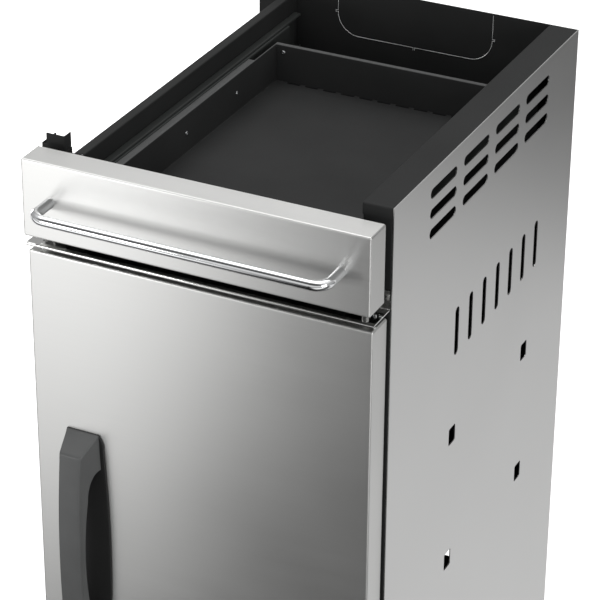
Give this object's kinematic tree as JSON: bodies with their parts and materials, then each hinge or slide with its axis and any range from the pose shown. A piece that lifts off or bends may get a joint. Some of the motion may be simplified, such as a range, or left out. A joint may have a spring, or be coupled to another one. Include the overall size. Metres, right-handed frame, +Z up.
{
  "type": "under-grill storage cart",
  "caption": "Stainless storage cart module that stands under a grill: bar-handled drawer above a hinged cupboard door, vented side panel, open top and swivel casters.",
  "frame": {"origin": "on the floor, under the middle of the cart's box", "axes": "+Z up, front (door and drawer) faces -Y, vented side faces +X"},
  "size_m": [0.428, 0.63, 0.914],
  "materials": {
    "front_stainless": "brushed",
    "side_stainless": "satin",
    "rail_stainless": "polished",
    "chrome_bar": "polished",
    "carcass_paint": "fine matt powder coat",
    "runner_coat": "dark coat",
    "zinc_steel": "zinc plated",
    "handle_plastic": "fine grain",
    "plate_plastic": "fine grain",
    "bush_nylon": "plain",
    "magnet_plastic": "plain",
    "tyre_rubber": "matt",
    "hub_plastic": "plain",
    "pedal_steel": "semi-gloss"
  },
  "bodies": {
    "cabinet": {"base_pan": "carcass_paint", "carcass_rivets": "zinc_steel", "caster_bolts": "zinc_steel", "caster_plate_front_left": "zinc_steel", "caster_plate_front_right": "zinc_steel", "caster_plate_rear_left": "zinc_steel", "caster_plate_rear_right": "zinc_steel", "door_magnet": "magnet_plastic", "front_rail": "rail_stainless", "hinge_pin_lower": "chrome_bar", "hinge_pin_upper": "chrome_bar", "left_front_post": "carcass_paint", "left_side_wall": "carcass_paint", "lower_rail": "rail_stainless", "rear_panel": "carcass_paint", "right_front_post": "carcass_paint", "right_rear_post": "carcass_paint", "right_side_skin": "side_stainless", "right_top_rail": "carcass_paint", "slide_outer_left": "runner_coat", "slide_outer_right": "runner_coat"},
    "drawer": {"bar_handle": "chrome_bar", "bar_handle_screws": "zinc_steel", "drawer_front": "front_stainless", "drawer_front_liner": "carcass_paint", "drawer_rivets": "zinc_steel", "drawer_tray": "carcass_paint", "slide_inner_left": "runner_coat", "slide_inner_right": "runner_coat"},
    "runner_left": {"slide_middle_left": "runner_coat"},
    "runner_right": {"slide_middle_right": "runner_coat"},
    "door": {"door_handle": "handle_plastic", "door_handle_plate": "plate_plastic", "door_handle_screws": "zinc_steel", "door_liner": "carcass_paint", "door_skin": "front_stainless", "hinge_bush_lower": "bush_nylon", "hinge_bush_upper": "bush_nylon"},
    "fork_front_left": {"caster_fork_front_left": "zinc_steel", "caster_axle_front_left": "zinc_steel"},
    "wheel_front_left": {"caster_hub_front_left": "hub_plastic", "caster_tyre_front_left": "tyre_rubber"},
    "fork_front_right": {"caster_fork_front_right": "zinc_steel", "caster_axle_front_right": "zinc_steel"},
    "wheel_front_right": {"caster_hub_front_right": "hub_plastic", "caster_tyre_front_right": "tyre_rubber"},
    "fork_rear_left": {"caster_fork_rear_left": "zinc_steel", "caster_axle_rear_left": "zinc_steel"},
    "wheel_rear_left": {"caster_hub_rear_left": "hub_plastic", "caster_tyre_rear_left": "tyre_rubber"},
    "fork_rear_right": {"caster_fork_rear_right": "zinc_steel", "caster_axle_rear_right": "zinc_steel"},
    "wheel_rear_right": {"caster_hub_rear_right": "hub_plastic", "caster_tyre_rear_right": "tyre_rubber"},
    "pedal_front_left": {"brake_pedal_front_left": "pedal_steel"},
    "pedal_front_right": {"brake_pedal_front_right": "pedal_steel"}
  },
  "joints": [
    {"name": "drawer_slide", "type": "slide", "parent": "cabinet", "child": "drawer", "axis": [0, -1, 0], "range_m": [-0.0085, 0.4]},
    {"name": "runner_left_slide", "type": "slide", "parent": "cabinet", "child": "runner_left", "axis": [0, -1, 0], "range_m": [-0.00425, 0.2]},
    {"name": "runner_right_slide", "type": "slide", "parent": "cabinet", "child": "runner_right", "axis": [0, -1, 0], "range_m": [-0.00425, 0.2]},
    {"name": "door_hinge", "type": "hinge", "parent": "cabinet", "child": "door", "pos_m": [0.196, -0.2485, 0.4415], "axis": [0, 0, 1], "range_deg": [0, 110]},
    {"name": "swivel_front_left", "type": "hinge", "parent": "cabinet", "child": "fork_front_left", "pos_m": [-0.152, -0.154, 0.0827], "axis": [0, 0, 1], "continuous": true},
    {"name": "roll_front_left", "type": "hinge", "parent": "fork_front_left", "child": "wheel_front_left", "pos_m": [-0.152, -0.176, 0.0325], "axis": [1, 0, 0], "continuous": true},
    {"name": "swivel_front_right", "type": "hinge", "parent": "cabinet", "child": "fork_front_right", "pos_m": [0.152, -0.154, 0.0827], "axis": [0, 0, 1], "continuous": true},
    {"name": "roll_front_right", "type": "hinge", "parent": "fork_front_right", "child": "wheel_front_right", "pos_m": [0.152, -0.176, 0.0325], "axis": [1, 0, 0], "continuous": true},
    {"name": "swivel_rear_left", "type": "hinge", "parent": "cabinet", "child": "fork_rear_left", "pos_m": [-0.152, 0.248, 0.0827], "axis": [0, 0, 1], "continuous": true},
    {"name": "roll_rear_left", "type": "hinge", "parent": "fork_rear_left", "child": "wheel_rear_left", "pos_m": [-0.152, 0.27, 0.0325], "axis": [1, 0, 0], "continuous": true},
    {"name": "swivel_rear_right", "type": "hinge", "parent": "cabinet", "child": "fork_rear_right", "pos_m": [0.152, 0.248, 0.0827], "axis": [0, 0, 1], "continuous": true},
    {"name": "roll_rear_right", "type": "hinge", "parent": "fork_rear_right", "child": "wheel_rear_right", "pos_m": [0.152, 0.27, 0.0325], "axis": [1, 0, 0], "continuous": true},
    {"name": "brake_front_left", "type": "hinge", "parent": "fork_front_left", "child": "pedal_front_left", "pos_m": [-0.152, -0.174, 0.0735], "axis": [1, 0, 0], "range_deg": [0, 10]},
    {"name": "brake_front_right", "type": "hinge", "parent": "fork_front_right", "child": "pedal_front_right", "pos_m": [0.152, -0.174, 0.0735], "axis": [1, 0, 0], "range_deg": [0, 10]}
  ],
  "couplings": [
    {"joint": "runner_left_slide", "follows": "drawer_slide", "ratio": 0.5},
    {"joint": "runner_right_slide", "follows": "drawer_slide", "ratio": 0.5}
  ]
}
